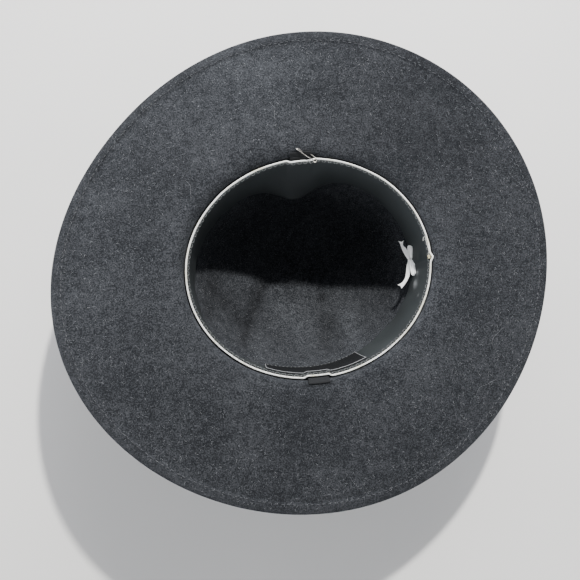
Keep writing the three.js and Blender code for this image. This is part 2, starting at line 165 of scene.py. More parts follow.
def makeTube(name, path, radius, sides, hint, closed=False):
    # One smooth tube along path (steps, 3), closed on itself or with flat ends
    if closed:
        padded = np.vstack([path[-2:], path, path[:2]])
        rings = carriedRing(padded, np.full(len(padded), radius), sides, hint)[2:-2]
    else:
        rings = carriedRing(path, np.full(len(path), radius), sides, hint)
    steps = len(path)
    index = np.arange(steps * sides).reshape(steps, sides)
    if closed:
        index = np.vstack([index, index[:1]])
    ahead = np.roll(index, -1, axis=1)
    body = np.stack([index[:-1], index[1:], ahead[1:], ahead[:-1]], axis=-1).reshape(-1, 4)
    caps = [] if closed else [np.stack([index[0], index[-1, ::-1]])]
    return makeMesh(name, rings.reshape(-1, 3), [body, *caps])


def lengthsAlong(path):
    # Length from the path's start to each of its points
    return np.concatenate([[0], np.cumsum(np.linalg.norm(np.diff(path, axis=0), axis=1))])


def setPointValues(piece, name, values):
    piece.data.attributes.new(name, "FLOAT", "POINT").data.foreach_set("value", values)


def wrapped(turn):
    # The same turn between minus and plus half a turn
    return np.arctan2(np.sin(turn), np.cos(turn))


def smoothPath(places, steps):
    # Catmull-Rom curve through places (n, 3), sampled evenly by its length
    places = np.asarray(places, dtype=float)
    ends = np.vstack([2 * places[0] - places[1], places, 2 * places[-1] - places[-2]])
    t = np.linspace(0, len(places) - 1, 40 * len(places))
    span = np.minimum(t.astype(int), len(places) - 2)
    u = (t - span)[:, None]
    a, b, c, d = (ends[span + i] for i in range(4))
    square = (2 * a - 5 * b + 4 * c - d) * u ** 2
    cube = (3 * b - 3 * c + d - a) * u ** 3
    curve = 0.5 * (2 * b + (c - a) * u + square + cube)
    lengths = lengthsAlong(curve)
    even = np.linspace(0, lengths[-1], steps)
    return np.stack([np.interp(even, lengths, curve[:, i]) for i in range(3)], axis=1)


def smoothStep(value, low, high):
    share = np.clip((value - low) / (high - low), 0, 1)
    return share * share * (3 - 2 * share)


# Materials

def srgb(code):
    # sRGB hex to linear red, green, blue and alpha
    channels = [int(code[i:i + 2], 16) / 255 for i in (1, 3, 5)]
    linear = [c / 12.92 if c <= 0.04045 else ((c + 0.055) / 1.055) ** 2.4 for c in channels]
    return (*linear, 1.0)


def setSockets(tree, node, sockets):
    # A socket that is given another node's output is linked, any other is set
    for name, value in sockets.items():
        if isinstance(value, bpy.types.NodeSocket):
            tree.links.new(value, node.inputs[name])
        else:
            node.inputs[name].default_value = value


def addNode(tree, kind, sockets=None, ramp=None, **settings):
    node = tree.nodes.new(kind)
    for name, value in settings.items():
        setattr(node, name, value)
    setSockets(tree, node, sockets or {})
    if ramp:
        for element, (place, colour) in zip(node.color_ramp.elements, ramp):
            element.position = place
            element.color = colour
    return node


def newMaterial(name):
    material = bpy.data.materials.new(name)
    material.use_nodes = True
    shader = material.node_tree.nodes["Principled BSDF"]
    return material, material.node_tree, shader


def blackAndWhite(low, high):
    return ((low, (0, 0, 0, 1)), (high, (1, 1, 1, 1)))


# Black wool felt, blocked and brushed: matt, with the dark pits and pale fibre ends of a short nap
feltLook = {
    "pit": "#1a1c1f",
    "nap": "#484a4e",
    "fleck": "#6c6e73",
    # welt: a darker felt colour, painted shade on the folded edge
    "welt": "#2a2b2e",
    "grain": 1.0,
    "mottle": 6,
    "mottleShare": 0.3,
    "cloud": 50,
    "cloudShare": 0.2,
    "darkest": 0.64,
    "palest": 1.02,
    "fleckSize": 2.2,
    "weltShadeShare": 0.15,
    "toneStrength": 1.0,
}


def woolFelt(look):
    material, tree, shader = newMaterial("blocked wool felt")
    place = addNode(tree, "ShaderNodeTexCoord").outputs["Object"]

    def noise(size, detail, distortion=0.0):
        sockets = {
            "Vector": place,
            "Scale": 1 / (size * millimetre),
            "Detail": detail,
            "Roughness": 0.6,
            "Distortion": distortion,
        }
        return addNode(tree, "ShaderNodeTexNoise", sockets).outputs["Fac"]

    grain = noise(look["grain"], 2.0)
    mottle = noise(look["mottle"], 2.0)
    cloud = noise(look["cloud"], 1.0)
    tones = grain
    for layer, strength in ((mottle, look["mottleShare"]), (cloud, look["cloudShare"])):
        added = {0: layer, 1: strength, 2: tones}
        tones = addNode(tree, "ShaderNodeMath", added, operation="MULTIPLY_ADD").outputs[0]
    spread = {"Value": tones, "From Min": look["darkest"], "From Max": look["palest"]}
    spread = addNode(tree, "ShaderNodeMapRange", spread).outputs[0]
    mixed = {0: spread, 6: srgb(look["pit"]), 7: srgb(look["nap"])}
    nap = addNode(tree, "ShaderNodeMix", mixed, data_type="RGBA").outputs[2]
    flecks = addNode(
        tree,
        "ShaderNodeValToRGB",
        {"Fac": noise(look["fleckSize"], 4.0, 2.2)},
        ramp=blackAndWhite(0.64, 0.74),
    ).outputs["Color"]
    mixed = {0: flecks, 6: nap, 7: srgb(look["fleck"])}
    nap = addNode(tree, "ShaderNodeMix", mixed, data_type="RGBA").outputs[2]
    # painted shade: the welt's felt is mixed a little towards the darker welt colour, for the shade where the folded
    # edge curls away
    onWelt = addNode(tree, "ShaderNodeAttribute", attribute_name="weltShare").outputs["Fac"]
    pressed = addNode(tree, "ShaderNodeMath", {0: onWelt, 1: look["weltShadeShare"]}, operation="MULTIPLY").outputs[0]
    mixed = {0: pressed, 6: nap, 7: srgb(look["welt"])}
    nap = addNode(tree, "ShaderNodeMix", mixed, data_type="RGBA").outputs[2]
    # painted shade and painted light: the colour is scaled by a tone painted on the mesh, a little paler inside the
    # crown, and darker or paler along the crown's dents and in bands round the brim
    tone = addNode(tree, "ShaderNodeAttribute", attribute_name="toneAndPaintedShading").outputs["Fac"]
    tone = {0: tone, 1: look["toneStrength"], 2: 1.0}
    share = addNode(tree, "ShaderNodeMath", tone, operation="MULTIPLY_ADD").outputs[0]
    colour = addNode(tree, "ShaderNodeVectorMath", {0: nap, "Scale": share}, operation="SCALE").outputs[0]
    height = addNode(tree, "ShaderNodeMath", {0: grain, 1: mottle}, operation="ADD").outputs[0]
    bump = addNode(tree, "ShaderNodeBump", {"Height": height, "Strength": 0.5, "Distance": 0.4 * millimetre})
    setSockets(tree, shader, {
        "Base Color": colour,
        "Normal": bump.outputs["Normal"],
        "Roughness": 0.95,
        "Specular IOR Level": 0.1,
        "Sheen Weight": 0.04,
        "Sheen Roughness": 0.6,
        "Sheen Tint": srgb("#b8bcc4"),
    })
    return material


# Imitation leather, a calendered polyurethane skin: smooth, satin, with a grain just under a millimetre
def imitationLeather(base="#27292a", worn="#373b3c", highlighted="#8b8d8e", grain=0.9):
    material, tree, shader = newMaterial("imitation leather")
    place = addNode(tree, "ShaderNodeTexCoord").outputs["Object"]
    pores = addNode(tree, "ShaderNodeTexVoronoi", {"Vector": place, "Scale": 1 / (grain * millimetre)})
    wear = {"Vector": place, "Scale": 1 / (24 * millimetre), "Detail": 3.0}
    cloud = addNode(tree, "ShaderNodeTexNoise", wear)
    mixed = {0: cloud.outputs["Fac"], 6: srgb(base), 7: srgb(worn)}
    skinColour = addNode(tree, "ShaderNodeMix", mixed, data_type="RGBA").outputs[2]
    # painted highlights: the skin's colour is mixed towards a pale grey where the scuff attribute is painted, as
    # soft light spots
    scuff = addNode(tree, "ShaderNodeAttribute", attribute_name="scuff").outputs["Fac"]
    mixed = {0: scuff, 6: skinColour, 7: srgb(highlighted)}
    colour = addNode(tree, "ShaderNodeMix", mixed, data_type="RGBA").outputs[2]
    height = {"Height": pores.outputs["Distance"], "Strength": 0.25, "Distance": 0.12 * millimetre}
    roughness = {"Value": cloud.outputs["Fac"], "To Min": 0.38, "To Max": 0.52}
    setSockets(tree, shader, {
        "Base Color": colour,
        "Normal": addNode(tree, "ShaderNodeBump", height).outputs["Normal"],
        "Roughness": addNode(tree, "ShaderNodeMapRange", roughness).outputs[0],
        "Specular IOR Level": 0.15,
    })
    return material


# Polyethylene cord, extruded: pale, a little see-through, yellowed and rubbed in places
def polyethylene(base="#f6f7f4", aged="#dcd8c4"):
    material, tree, shader = newMaterial("polyethylene cord")
    place = addNode(tree, "ShaderNodeTexCoord").outputs["Object"]
    stain = {"Vector": place, "Scale": 1 / (14 * millimetre), "Detail": 4.0}
    stain = addNode(tree, "ShaderNodeTexNoise", stain).outputs["Fac"]
    stains = addNode(tree, "ShaderNodeValToRGB", {"Fac": stain}, ramp=blackAndWhite(0.48, 0.72))
    mixed = {0: stains.outputs["Color"], 6: srgb(base), 7: srgb(aged)}
    colour = addNode(tree, "ShaderNodeMix", mixed, data_type="RGBA").outputs[2]
    scuff = addNode(tree, "ShaderNodeTexNoise", {"Vector": place, "Scale": 1 / (1.5 * millimetre)})
    height = {"Height": scuff.outputs["Fac"], "Strength": 0.3, "Distance": 0.2 * millimetre}
    setSockets(tree, shader, {
        "Base Color": colour,
        "Normal": addNode(tree, "ShaderNodeBump", height).outputs["Normal"],
        "Roughness": 0.45,
        "Subsurface Weight": 0.08,
        "Subsurface Radius": (0.001, 0.001, 0.0008),
    })
    return material


# Woven tape: ribs across the tape or a plain weave, with the pitch of its threads in millimetres
def wovenTape(name, base, thread, pitch, roughness, gloss, sheen, ribbed):
    material, tree, shader = newMaterial(name)
    place = addNode(tree, "ShaderNodeUVMap", uv_map="surface").outputs["UV"]
    wave = {"Vector": place, "Scale": math.pi / 10 / (pitch * millimetre), "Distortion": 0.3}
    ribs = addNode(tree, "ShaderNodeTexWave", wave, bands_direction="Y").outputs["Fac"]
    if not ribbed:
        warp = addNode(tree, "ShaderNodeTexWave", wave, bands_direction="X").outputs["Fac"]
        ribs = addNode(tree, "ShaderNodeMath", {0: ribs, 1: warp}, operation="MULTIPLY").outputs[0]
    mixed = {0: ribs, 6: srgb(base), 7: srgb(thread)}
    colour = addNode(tree, "ShaderNodeMix", mixed, data_type="RGBA").outputs[2]
    bump = addNode(tree, "ShaderNodeBump", {"Height": ribs, "Strength": 0.5, "Distance": 0.15 * millimetre})
    setSockets(tree, shader, {
        "Base Color": colour,
        "Normal": bump.outputs["Normal"],
        "Roughness": roughness,
        "Specular IOR Level": gloss,
        "Sheen Weight": sheen,
    })
    return material


# Spun thread: twisted fibres, matt with slightly darker grooves between the plies
def spunThread(name, base, groove):
    material, tree, shader = newMaterial(name)
    place = addNode(tree, "ShaderNodeTexCoord").outputs["Object"]
    plies = addNode(tree, "ShaderNodeTexNoise", {"Vector": place, "Scale": 1 / (0.5 * millimetre)})
    mixed = {0: plies.outputs["Fac"], 6: srgb(groove), 7: srgb(base)}
    colour = addNode(tree, "ShaderNodeMix", mixed, data_type="RGBA").outputs[2]
    setSockets(tree, shader, {"Base Color": colour, "Roughness": 0.75, "Sheen Weight": 0.3})
    return material


# Nickel-plated steel wire, drawn and bent: bright, with fine scratches and dulled patches
def nickelPlate():
    material, tree, shader = newMaterial("nickel-plated steel")
    place = addNode(tree, "ShaderNodeTexCoord").outputs["Object"]
    dull = {"Vector": place, "Scale": 1 / (1.2 * millimetre), "Detail": 3.0}
    dull = addNode(tree, "ShaderNodeTexNoise", dull).outputs["Fac"]
    mixed = {0: dull, 6: srgb("#cfccc5"), 7: srgb("#8f8b84")}
    colour = addNode(tree, "ShaderNodeMix", mixed, data_type="RGBA").outputs[2]
    roughness = addNode(tree, "ShaderNodeMapRange", {"Value": dull, "To Min": 0.15, "To Max": 0.4}).outputs[0]
    setSockets(tree, shader, {"Base Color": colour, "Roughness": roughness, "Metallic": 1.0})
    return material


# Pale cotton sheet under the hat, matt
def paleFloor(base="#e8e7e5"):
    material, tree, shader = newMaterial("pale cotton")
    place = addNode(tree, "ShaderNodeTexCoord").outputs["Object"]
    cloud = addNode(tree, "ShaderNodeTexNoise", {"Vector": place, "Scale": 6.0, "Detail": 2.0})
    mixed = {0: cloud.outputs["Fac"], 6: srgb(base), 7: srgb("#dfdedd")}
    colour = addNode(tree, "ShaderNodeMix", mixed, data_type="RGBA").outputs[2]
    setSockets(tree, shader, {"Base Color": colour, "Roughness": 0.9})
    return material


felt = woolFelt(feltLook)
leather = imitationLeather()
cordPlastic = polyethylene()
grosgrain = wovenTape("black grosgrain", "#111213", "#242527", 0.8, 0.8, 0.15, 0.02, True)
labelCloth = wovenTape("black woven label", "#0b0c0e", "#151719", 0.45, 0.6, 0.12, 0.02, False)
satin = wovenTape("white satin ribbon", "#f8f8f6", "#ffffff", 0.5, 0.35, 0.8, 1.0, False)
greyThread = spunThread("grey polyester thread", "#5a5c60", "#303235")
seamThread = spunThread("grey cotton thread", "#8c8e8d", "#57595a")
borderThread = spunThread("light grey rayon thread", "#8f9194", "#5b5d60")
whiteThread = spunThread("white cotton thread", "#dcdcd8", "#a9a9a5")
paleThread = spunThread("unbleached cotton thread", "#d8cfa8", "#a49a76")
looseFibre = spunThread("loose wool fibre", "#7d7f84", "#57595d")
wireMetal = nickelPlate()
print("materials made")


def finishPiece(piece, material, nodes=()):
    piece.data.materials.append(material)
    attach(piece, "root")
    if nodes:
        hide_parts(*nodes)


# Shapes shared by the pieces, as in the CAD model

opening = {"length": 196.8, "width": 176.1, "height": 108.0, "skew": 0.0168, "gap": 0.3}
halfLength = opening["length"] / 2
halfWidth = opening["width"] / 2


def skewAt(turn):
    # Share by which the outline is longer towards one diagonal and shorter towards the other
    return opening["skew"] * np.sin(2 * turn)


def besideOpening(turn, outward, height):
    # Half size, stretched by the skew, plus a distance outward, times the cosine and sine of the turn
    outline = 1 + skewAt(turn)
    x = (halfLength * outline + outward) * np.cos(turn)
    y = (halfWidth * outline + outward) * np.sin(turn)
    return np.stack(np.broadcast_arrays(x, y, height), axis=-1)


# The felt sinks towards the opening, deeper at one turn than at the opposite one
sink = {"depth": 1.6, "run": 16.0, "innerRun": 3.0, "swing": 0.5, "turn": 125.0}


def sinkAt(turn, outward):
    # Depth by the turn, times the square of what is left of the run
    run = np.where(outward < 0, sink["innerRun"], sink["run"])
    depth = sink["depth"] * (1 + sink["swing"] * np.cos(turn - math.radians(sink["turn"])))
    return depth * np.maximum(1 - np.abs(outward) / run, 0) ** 2


def offSurface(surface, along, turn, step, distance):
    # Place on a surface moved along its normal, which is the cross product of two small steps on it
    here = surface(along, turn)
    ahead = surface(along + step, turn) - here
    around = surface(along, turn + step) - here
    return here + unit(np.cross(ahead, around)) * np.asarray(distance)[..., None]


# Crown and brim, one blocked felt

crown = {
    "topRound": 1.9,
    "sideRound": 2.1,
    "restFlat": 6.0,
    "wall": 2.4,
    "foldSoftness": 0.4,
    "foldCentre": 0.75,
    "foldsFrom": 0.36,
    "foldsWhole": 0.66,
    "paler": 0.12,
    "rows": 84,
    "rowsLeftOut": 2,
    "columns": 288,
    "step": 0.001,
}
crownDepth = opening["height"] - crown["wall"] + crown["restFlat"]
# Folds pressed into the crown: from x, from y, to x, to y as shares of the opening's half size, reach as a
# share of its half width and push as a share of its height
crownFolds = [
    ("dent", -0.24, -0.6, -0.24, 0.6, 0.28, 0.05),
    ("top", 0.83, 0.53, -0.31, -0.01, 0.21, 0.03),
    ("front", -0.31, -0.01, -0.49, -0.55, 0.18, 0.034),
    ("pinch", -0.68, -0.13, -0.5, -0.44, 0.12, 0.024),
    ("side", 0.24, -0.14, 0.29, -0.72, 0.16, 0.024),
    ("branch", 0.1, 0.2, 0.04, 0.44, 0.12, 0.014),
]


def foldPush(x, y):
    # For each fold the push rises past its line and fades over its reach, and the folds' fourth powers are added
    total = np.zeros(np.broadcast(x, y).shape)
    for name, fromX, fromY, toX, toY, reach, push in crownFolds:
        start = np.array([fromX * halfLength, fromY * halfWidth])
        run = np.array([toX * halfLength, toY * halfWidth]) - start
        length = np.hypot(*run)
        run = run / length
        reach = reach * halfWidth
        ahead = (x - start[0]) * run[0] + (y - start[1]) * run[1]
        beside = run[0] * (y - start[1]) - run[1] * (x - start[0])
        beyond = np.maximum(np.maximum(-ahead, ahead - length), 0)
        soft = (beside + np.hypot(beside, reach * crown["foldSoftness"])) / 2 / reach
        pushed = push * opening["height"] * soft * np.exp(1 - soft) * np.exp(-((beyond / reach) ** 2))
        total += pushed ** 4
    return total ** 0.25


# Dents pressed into the crown, with painted shade and painted light along them: from x, from y, to x, to y and reach
# in millimetres in plan, how deep the felt is pressed, and how much paler it is painted there, darker as painted
# shade on the dark streaks and paler as painted light on the bright patches
crownDentsAndShading = [
    (-30, 0, -52, -50, 6, 1.4, -0.45),
    (-66, -16, -52, -32, 6, 1.0, -0.3),
    (-74, 1, -80, -25, 7, 0.5, -0.4),
    (23, -15, 23.5, -13, 4, 0.8, -0.45),
    (24, -34, 16, -58, 8, 1.2, -0.3),
    (-64, 3, -44, 4, 8, -0.4, 0.3),
    (-18, -10, -1, -47, 12, -0.8, 0.3),
    (40, -35, 42, -62, 9, -0.8, 0.25),
]


def dentsAndPaintedShading(x, y):
    # Sum of the dents and of their painted shade and light, each fading by a bell curve with the distance from its
    # line
    pressed = np.zeros(np.broadcast(x, y).shape)
    tone = np.full(pressed.shape, crown["paler"])
    for fromX, fromY, toX, toY, reach, depth, paler in crownDentsAndShading:
        run = np.array([toX - fromX, toY - fromY])
        share = np.clip(((x - fromX) * run[0] + (y - fromY) * run[1]) / (run @ run), 0, 1)
        away = np.hypot(x - fromX - share * run[0], y - fromY - share * run[1]) / reach
        bell = np.exp(-(away ** 2))
        pressed += depth * bell
        tone += paler * bell
    return pressed, tone


def unevenFelt(x, y, size):
    # Sum of three slow waves in plan, from -1 to 1
    waves = np.sin(x / size + 1.3) * np.cos(y / size * 0.9) + np.sin((x + y) / size * 0.63 + 0.4)
    return (waves + np.cos((x - 1.7 * y) / size * 0.41 + 2.1)) / 3


def crownSurface(angle, turn):
    # Share k of the half size and share s of the depth with k ^ topRound + s ^ sideRound = 1, pushed in at the
    # folds and flat where the crown rests
    k = np.sin(angle) ** (2 / crown["topRound"])
    s = np.maximum(np.cos(angle), 0) ** (2 / crown["sideRound"])
    outline = k * (1 + skewAt(turn))
    x = outline * halfLength * np.cos(turn)
    y = outline * halfWidth * np.sin(turn)
    point = np.stack(np.broadcast_arrays(x, y, opening["height"] - s * crownDepth), axis=-1)
    inward = unit(np.array([0, 0, opening["height"] * crown["foldCentre"]]) - point)
    push = foldPush(x, y) * smoothStep(s, crown["foldsFrom"], crown["foldsWhole"])
    point = point + inward * push[..., None]
    point[..., 2] = np.maximum(point[..., 2], crown["wall"])
    return point


def crownAngles(rows, leftOut):
    # Angles that part the profile into equal lengths, without the last rows, where the felt curls out already
    angle = np.linspace(0, math.pi / 2, 4000)
    k = np.sin(angle) ** (2 / crown["topRound"])
    s = np.maximum(np.cos(angle), 0) ** (2 / crown["sideRound"])
    length = np.concatenate([[0], np.cumsum(np.hypot(np.diff(k), np.diff(s)))])
    return np.interp(np.arange(1, rows - leftOut) / rows * length[-1], length, angle)


def crownLean(down):
    # How far the crown's wall at the middle of a side leans in at a depth below the opening
    return halfWidth * (1 - (1 - (down / crownDepth) ** crown["sideRound"]) ** (1 / crown["topRound"]))


brim = {
    "reachAlong": 97.6,
    "reachAcross": 101.4,
    "droop": 5.0,
    "breakRadius": 5.0,
    "weltWidth": 9.0,
    "weltThickness": 1.1,
    "droopPower": 1.5,
    "wavePower": 1.6,
    "rows": 36,
    "step": 0.0001,
}
# Waves round the brim: how many, cosine and sine of the cut, and rise of the edge, as shares of the reach
brimWaves = [(1, -0.0075, -0.002, 0), (2, -0.002, 0.013, 0.14), (3, -0.006, -0.008, 0), (4, 0.003, 0.004, 0)]
brimEdge = (brim["reachAlong"] + brim["reachAcross"]) / 2
# Painted shade and painted light on the brim: darker where the brim lies in shade beside the opening and round its
# middle, paler where the break's crest and other parts catch the light. Turn and spread in degrees, share of the way
# out and its spread, and how much paler
brimShadingBands = [
    (112, 30, 0.03, 0.06, -0.12),
    (138, 22, 0.5, 0.7, -0.12),
    (45, 30, 0.5, 0.7, -0.26),
    (98, 12, 0.6, 0.5, 0.1),
    (-110, 28, 0.5, 0.7, -0.18),
    (-75, 40, 0.07, 0.02, 0.12),
    (148, 14, 0.12, 0.04, 0.2),
]


def paintedBrimShading(w, turn):
    # Sum of the painted shade and light, each fading by a bell curve round the brim and one outwards
    tone = 0
    for middle, spread, out, reach, paler in brimShadingBands:
        away = wrapped(turn - math.radians(middle)) / math.radians(spread)
        tone = tone + paler * np.exp(-(away ** 2) / 2) * np.exp(-(((w - out) / reach) ** 2))
    return tone


def brimSurface(w, turn):
    # Quarter circle out of the sunk opening, then a slope that droops by a power of the way out and is lifted
    # by the waves. w is the share of the way from the opening to the edge.
    reach = brim["reachAlong"] + (brim["reachAcross"] - brim["reachAlong"]) * np.sin(turn) ** 2
    cut = sum(c * np.cos(n * turn) + d * np.sin(n * turn) for n, c, d, rise in brimWaves)
    rise = sum(rise * np.sin(n * turn) for n, c, d, rise in brimWaves)
    outline = 1 + skewAt(turn) * (1 - w * w) + cut * w * w
    out = w * reach
    past = np.maximum(out - brim["breakRadius"], 0) / (reach - brim["breakRadius"])
    curl = np.sqrt(brim["breakRadius"] ** 2 - np.maximum(brim["breakRadius"] - out, 0) ** 2)
    x = (halfLength + w * brim["reachAlong"]) * np.cos(turn) * outline
    y = (halfWidth + w * brim["reachAcross"]) * np.sin(turn) * outline
    lift = rise * reach * past ** brim["wavePower"] - brim["droop"] * past ** brim["droopPower"]
    return np.stack(np.broadcast_arrays(x, y, opening["height"] + curl + lift - sinkAt(turn, out)), axis=-1)


def brimRows():
    # Rows of distance out, lift of the welt above the brim, felt below the surface, and share of the welt
    wall, welt = crown["wall"], brim["weltThickness"]
    rows = [(brim["breakRadius"] * (1 - math.cos(q * math.pi / 2)), 0, wall, 0)
            for q in np.linspace(0.02, 1, 12)]
    weltFrom = brimEdge - brim["weltWidth"]
    rows += [(out, 0, wall, 0) for out in np.linspace(brim["breakRadius"], weltFrom - 1.2, brim["rows"])[1:]]
    # the cut edge of the folded felt is pressed to a soft step on the brim
    step = [(-0.8, 0), (-0.2, 0.05), (0.3, 0.2), (0.8, 0.42), (1.4, 0.66), (2.0, 0.85), (2.3, 0.92)]
    rows += [(weltFrom + out, share * welt, wall, max(share, 0)) for out, share in step]
    rows += [(weltFrom + out, welt * share, wall, 1)
             for out, share in ((3.0, 1), (3.8, 1.05), (4.7, 1.08), (5.6, 1.05), (6.6, 1))]
    half = (wall + welt) / 2
    for angle in np.radians(np.linspace(0, 82, 9)):
        trim = half * (1 - math.cos(angle))
        rows.append((brimEdge - half * (1 - math.sin(angle)), welt - trim, wall - trim, 1))
    return np.array(rows)


def makeFelt():
    turn = np.arange(crown["columns"]) * fullTurn / crown["columns"]
    angle = crownAngles(crown["rows"], crown["rowsLeftOut"])[:, None]
    rows = brimRows()
    w = rows[:, 0, None] / brimEdge
    # the soft felt is a little uneven inside the crown and along the brim
    inside = crownSurface(angle, turn)
    pressed, tone = dentsAndPaintedShading(inside[..., 0], inside[..., 1])
    dents = 0.35 * unevenFelt(inside[..., 0], inside[..., 1], 9) - pressed
    dents = dents * smoothStep(inside[..., 2], 4, 14)
    plan = brimSurface(w, turn)
    waves = 0.3 * unevenFelt(plan[..., 0], plan[..., 1], 17) * smoothStep(w, 0.05, 0.3)
    crownFront = offSurface(crownSurface, angle, turn, crown["step"], dents)
    crownBack = offSurface(crownSurface, angle, turn, crown["step"], dents - crown["wall"])
    brimFront = offSurface(brimSurface, w, turn, brim["step"], rows[:, 1, None] + waves)
    brimBack = offSurface(brimSurface, w, turn, brim["step"], waves - rows[:, 2, None])
    front = np.vstack([crownFront, brimFront])
    back = np.vstack([crownBack, brimBack])
    back[..., 2] = np.maximum(back[..., 2], 0)
    piece = makeWall("felt_crown_and_brim", front, back, poles=[(0, 0, crown["wall"]), (0, 0, 0)])
    onWelt = np.concatenate([np.zeros(len(angle)), rows[:, 3]])
    onWelt = np.repeat(onWelt, crown["columns"])
    # painted shade and light of the crown and the brim, stored together with the crown's paler tone
    tone = np.concatenate([tone.ravel(), paintedBrimShading(w, turn).ravel()])
    for name, values in (("weltShare", onWelt), ("toneAndPaintedShading", tone)):
        values = np.concatenate([values, values, [0, 0]])
        setPointValues(piece, name, values)
    return piece


finishPiece(makeFelt(), felt, ("felt_body",))
print("felt made")


# Sweatband, with room for the ribbon loops behind the reed

loops = {"length": 16.3, "thickness": 1.3, "depth": 9.0, "flap": 7.0, "dipRun": 3.5, "rightShift": -0.95}
reed = {"radius": 1.0, "sides": 12, "steps": 720, "cord": 0.78, "inward": 0.35,
        "kinkTurn": 0.008, "kinkRun": 0.028, "kinkOut": 1.5, "kinkUp": 1.3}
band = {
    "height": 37.0,
    "thickness": 1.3,
    "top": 0.77,
    "leanAlong": 4.9,
    "leanAcross": 3.5,
    "leanPower": 1.1,
    "bulgePower": 1.5,
    "rows": 40,
    "columns": 540,
    "cutShare": 0.952,
}
# Bulges of the free edge: turn in degrees, out as a share of the band's height and spread in degrees
bandBulges = [(91, -0.5, 11.5), (48, 0.03, 17), (125, -0.054, 18), (-140, 0.03, 11), (-50, -0.12, 22),
              (-97, -0.078, 17)]
stitches = {"count": 122, "drop": 0.7, "radius": 0.13, "turnFrom": 0.012}
# Bumps of the skin with painted highlights on them: turn in degrees, share of the height, reach and rise in
# millimetres, and how strongly a pale highlight is painted there
bandBumps = [(-6, 0.6, 2.2, 0.5, 0.6), (-12.6, 0.62, 3.6, 0.6, 0.75), (-20, 0.3, 1.6, 0.2, 0.3),
             (3, 0.45, 4.0, 0.3, 0)]


def loopDip(turn):
    # Room that a ribbon loop takes behind the reed, fading past the loop's ends
    shift = np.where(np.sin(turn) < 0, math.radians(loops["rightShift"]), 0)
    beside = np.abs(np.cos(turn - shift)) * halfLength
    fade = smoothStep(beside, loops["length"] / 2, loops["length"] / 2 + loops["dipRun"])
    return (loops["thickness"] + opening["gap"]) * (1 - fade)


def bandInner(turn, share):
    # Distance of the band's inner face outside the opening, at a share of its height from the top
    dip = loopDip(turn) * (1 - smoothStep(share, 0, 0.5))
    top = -2 * opening["gap"] - 2 * reed["radius"] - band["thickness"] - dip
    lean = band["leanAlong"] + (band["leanAcross"] - band["leanAlong"]) * np.sin(turn) ** 2
    bulge = 0
    for middle, out, spread in bandBulges:
        away = wrapped(turn - math.radians(middle)) / math.radians(spread)
        bulge = bulge + out * band["height"] * np.exp(-(away ** 2) / 2)
    return top - lean * share ** band["leanPower"] + bulge * share ** band["bulgePower"]


def onBand(turn, share, off):
    # Place on the band's inner face, or a distance off it towards the middle of the hat
    height = opening["height"] + band["top"] - share * band["height"]
    return besideOpening(turn, bandInner(turn, share) - off, height)


def makeSweatband():
    turn = np.arange(band["columns"]) * fullTurn / band["columns"]
    share = np.linspace(0, 1, band["rows"])[:, None] ** 1.15
    # stitches pull the top in, the skin ripples softly lower down, and the ends meet in a groove at the back
    pull = 0.16 * np.cos(turn * stitches["count"]) * np.exp(-share * 14)
    ripple = 0.28 * np.sin(turn * 23 + 1.2 * np.sin(turn * 5)) * smoothStep(share, 0.1, 0.8)
    seam = -0.5 * np.exp(-((wrapped(turn) / 0.012) ** 2))
    edge = np.minimum(share, 1 - share) * band["height"]
    rounding = 0.5 - np.sqrt(0.25 - (0.5 - np.minimum(edge, 0.5)) ** 2)
    relief = pull + ripple + seam
    scuff = np.zeros(relief.shape)
    for middle, low, reach, rise, highlighted in bandBumps:
        beside = (wrapped(turn) - math.radians(middle)) * halfLength
        away = np.hypot(beside, (share - low) * band["height"]) / reach
        relief = relief + rise * np.exp(-(away ** 2))
        scuff = scuff + highlighted * np.exp(-(away ** 2))
    front = onBand(turn, share, relief - band["thickness"] + rounding)
    back = onBand(turn, share, relief - rounding)
    piece = makeWall("sweatband_skin", front, back)
    # the scuff values are painted highlights on the bumps
    scuff = np.concatenate([scuff.ravel(), scuff.ravel()])
    setPointValues(piece, "scuff", scuff)
    return piece


skin = makeSweatband()
finishPiece(skin, leather, ("sweatband",))
# The cut length is a chosen share of the opening's girth, and the photo doesn't show it
print("sweatband made")


# Reed: a pale cord round the opening whose ends butt at the back, one of them pushed up a little

def reedPath(turn):
    # Middle line of the cord, inside the felt and in front of the loops' dips, with a kink where its ends butt
    away = wrapped(turn)
    wander = 0.12 * np.sin(turn * 9 + 0.7) + 0.08 * np.sin(turn * 17)
    kink = np.exp(-((away - reed["kinkTurn"]) / reed["kinkRun"]) ** 2)
    outward = -opening["gap"] - reed["radius"] - reed["inward"] - loopDip(turn) + reed["kinkOut"] * kink
    return besideOpening(turn, outward + 0.5 * wander, opening["height"] + wander + reed["kinkUp"] * kink)


def makeReed():
    turn = np.arange(reed["steps"]) * fullTurn / reed["steps"]
    return makeTube("reed_cord", reedPath(turn), reed["cord"], reed["sides"], (0, 0, 1), closed=True)


finishPiece(makeReed(), cordPlastic, ("reed",))


